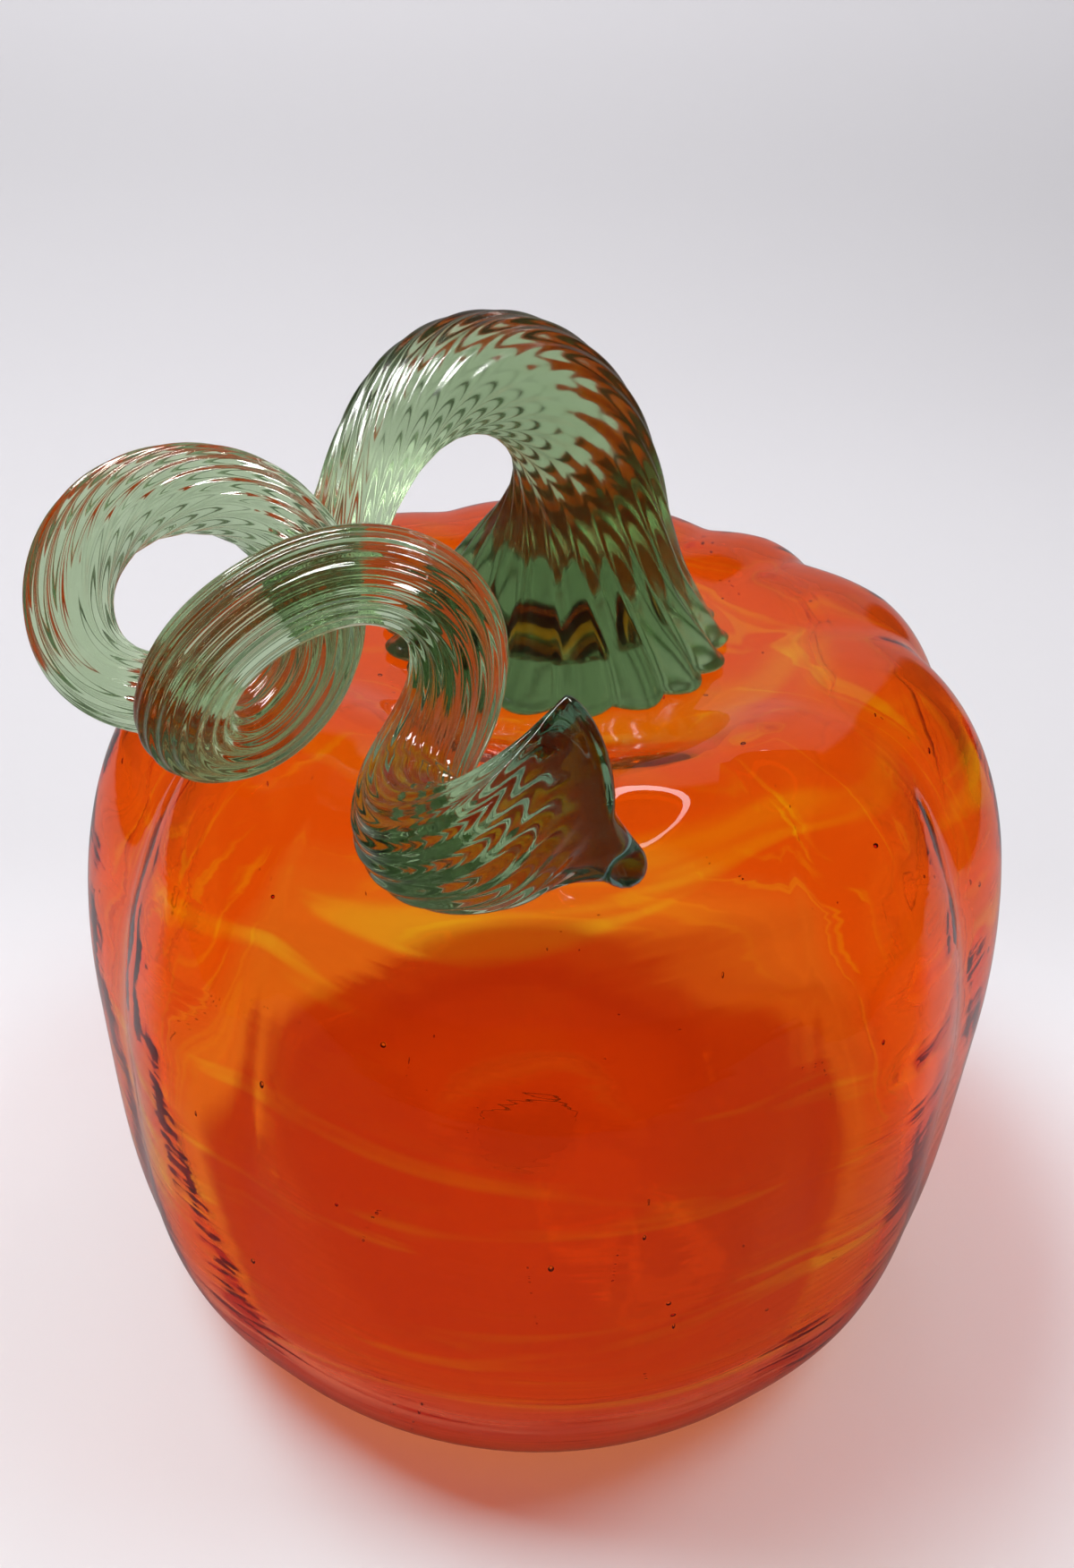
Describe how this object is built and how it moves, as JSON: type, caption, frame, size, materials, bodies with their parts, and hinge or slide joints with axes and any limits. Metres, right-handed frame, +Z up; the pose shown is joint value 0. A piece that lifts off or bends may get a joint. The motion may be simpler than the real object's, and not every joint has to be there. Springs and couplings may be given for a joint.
{
  "type": "glass pumpkin",
  "caption": "Hollow blown-glass pumpkin ornament with irregular lobes, a flat foot ring and a solid ribbed glass stem that spreads on the top, arches over and curls in the air.",
  "frame": {"origin": "middle of the flat foot ring, on the plane it rests on", "axes": "+Z up through the body, -Y towards the side the stem curls out over, +X to the right when that side is seen from the front"},
  "size_m": [0.1485, 0.164, 0.1652],
  "materials": {
    "orange_glass": "polished",
    "green_glass": "polished",
    "clear_glass": "ground"
  },
  "bodies": {
    "root": {"body": "orange_glass", "stem": "green_glass", "pontil": "clear_glass"}
  },
  "joints": []
}
